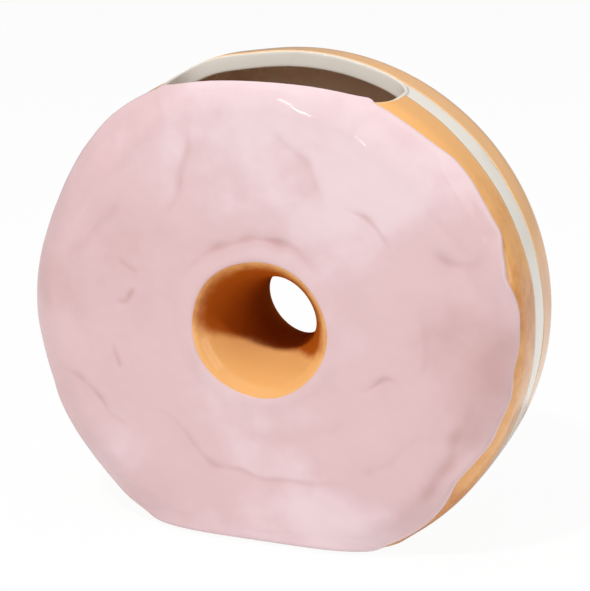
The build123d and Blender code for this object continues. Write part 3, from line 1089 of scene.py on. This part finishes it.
class DONUTVASE_OT_foot(bpy.types.Operator):
    """Make the bare clay ring that the vase stands on"""
    bl_idname = "donut_vase.foot"
    bl_label = "Foot ring"
    bl_options = {"REGISTER", "UNDO"}

    def execute(self, context):
        size = context.scene.donut_vase_sizes
        make_foot(size, Section(size), finish("clay_finish"))
        return {"FINISHED"}


def aimed(thing, target):
    """Turns a lamp or camera towards a point."""
    way = Vector(target) - thing.location
    thing.rotation_euler = way.to_track_quat("-Z", "Y").to_euler()


def softbox(name, place, target, width, height, power, roll=0.0):
    """A rectangular studio lamp; roll turns it about its own axis, in degrees."""
    lamp = bpy.data.lights.new(name, "AREA")
    lamp.shape = "RECTANGLE"
    lamp.size, lamp.size_y, lamp.energy = width, height, power
    thing = bpy.data.objects.new(name, lamp)
    thing.location = place
    bpy.context.scene.collection.objects.link(thing)
    aimed(thing, target)
    thing.rotation_euler.rotate_axis("Z", math.radians(roll))
    return thing


def white_paper():
    """White paper that glows for the camera, so that it reads as white but keeps a soft shadow."""
    material, nodes = new_material("white_paper")
    seen = nodes.add("ShaderNodeLightPath").outputs["Is Camera Ray"]
    matt = nodes.add("ShaderNodeBsdfDiffuse", {"Color": (0.9, 0.9, 0.9, 1)})
    glow = nodes.add("ShaderNodeEmission", {"Color": (1, 1, 1, 1), "Strength": 1.0})
    both = nodes.add("ShaderNodeMixShader", {0: nodes.maths("MULTIPLY", seen, 0.95),
                                             1: matt.outputs[0], 2: glow.outputs[0]})
    nodes.add("ShaderNodeOutputMaterial", {"Surface": both.outputs[0]})
    return material


def white_room():
    """Even white light from all round, and pure white where the camera sees it."""
    world = bpy.data.worlds.new("white_room")
    world.use_nodes = True
    nodes = Nodes(world.node_tree)
    seen = nodes.add("ShaderNodeLightPath").outputs["Is Camera Ray"]
    strength = nodes.span(seen, 0.0, 1.0, 0.28, 1.0, kind="LINEAR")
    light = nodes.add("ShaderNodeBackground", {"Color": (1, 1, 1, 1), "Strength": strength})
    nodes.add("ShaderNodeOutputWorld", {"Surface": light.outputs[0]})
    return world


def photo_camera(target):
    """A camera that stands to the right of the iced face, a little above the vase."""
    side, rise, distance = math.radians(20.4), math.radians(16.0), 0.75
    camera = bpy.data.cameras.new("camera")
    camera.sensor_width = 36.0
    camera.lens = 116.05
    thing = bpy.data.objects.new("camera", camera)
    away = Vector((math.sin(side) * math.cos(rise), -math.cos(side) * math.cos(rise),
                   math.sin(rise)))
    thing.location = Vector(target) + distance * away
    bpy.context.scene.collection.objects.link(thing)
    aimed(thing, target)
    return thing


class DONUTVASE_OT_stage(bpy.types.Operator):
    """Set up the pale floor, the soft lamps and the camera"""
    bl_idname = "donut_vase.stage"
    bl_label = "Stage"
    bl_options = {"REGISTER", "UNDO"}

    def execute(self, context):
        scene = context.scene
        middle = (0.0014, 0.0, 0.0917)
        reach = 4.0
        mesh = bpy.data.meshes.new("floor")
        corners = [(-reach, -reach, 0), (reach, -reach, 0), (reach, reach, 0), (-reach, reach, 0)]
        mesh.from_pydata(corners, [], [(0, 1, 2, 3)])
        mesh.materials.append(white_paper())
        floor = bpy.data.objects.new("floor", mesh)
        scene.collection.objects.link(floor)
        key = softbox("key_lamp", (-0.191, -0.906, 1.517), middle, 0.12, 0.12, 18.6)
        key.visible_glossy = False
        softbox("strip_lamp", (-0.37, -1.484, 0.71), middle, 0.03, 0.6, 0.9, roll=24.0)
        softbox("side_lamp", (1.35, 0.15, 0.8), middle, 1.4, 1.4, 6.8)
        softbox("top_lamp", (-0.1, -0.1, 1.7), middle, 2.2, 2.2, 6.0)
        scene.world = white_room()
        scene.camera = photo_camera(middle)
        scene.view_settings.view_transform = "Standard"
        return {"FINISHED"}


class DONUTVASE_PT_panel(bpy.types.Panel):
    """Lists the vase's pieces, sizes and colours"""
    bl_idname = "DONUTVASE_PT_panel"
    bl_label = "Donut vase"
    bl_space_type = "VIEW_3D"
    bl_region_type = "UI"
    bl_category = "Donut vase"

    def draw(self, context):
        layout = self.layout
        for operator in OPERATORS:
            layout.operator(operator.bl_idname)
        for group in (context.scene.donut_vase_sizes, context.scene.donut_vase_colours):
            for name in group.__annotations__:
                layout.prop(group, name)


OPERATORS = (DONUTVASE_OT_castings, DONUTVASE_OT_cream, DONUTVASE_OT_icing, DONUTVASE_OT_foot,
             DONUTVASE_OT_stage)
CLASSES = (DonutVaseSizes, DonutVaseColours, *OPERATORS, DONUTVASE_PT_panel)


def register():
    """Adds the vase's properties, operators and panel."""
    for cls in CLASSES:
        bpy.utils.register_class(cls)
    bpy.types.Scene.donut_vase_sizes = bpy.props.PointerProperty(type=DonutVaseSizes)
    bpy.types.Scene.donut_vase_colours = bpy.props.PointerProperty(type=DonutVaseColours)


def unregister():
    """Takes them away again."""
    del bpy.types.Scene.donut_vase_colours
    del bpy.types.Scene.donut_vase_sizes
    for cls in reversed(CLASSES):
        bpy.utils.unregister_class(cls)


def main():
    """Makes the vase and its stage."""
    register()
    bpy.ops.donut_vase.castings()
    bpy.ops.donut_vase.cream()
    bpy.ops.donut_vase.icing()
    bpy.ops.donut_vase.foot()
    bpy.ops.donut_vase.stage()


if __name__ == "__main__":
    main()
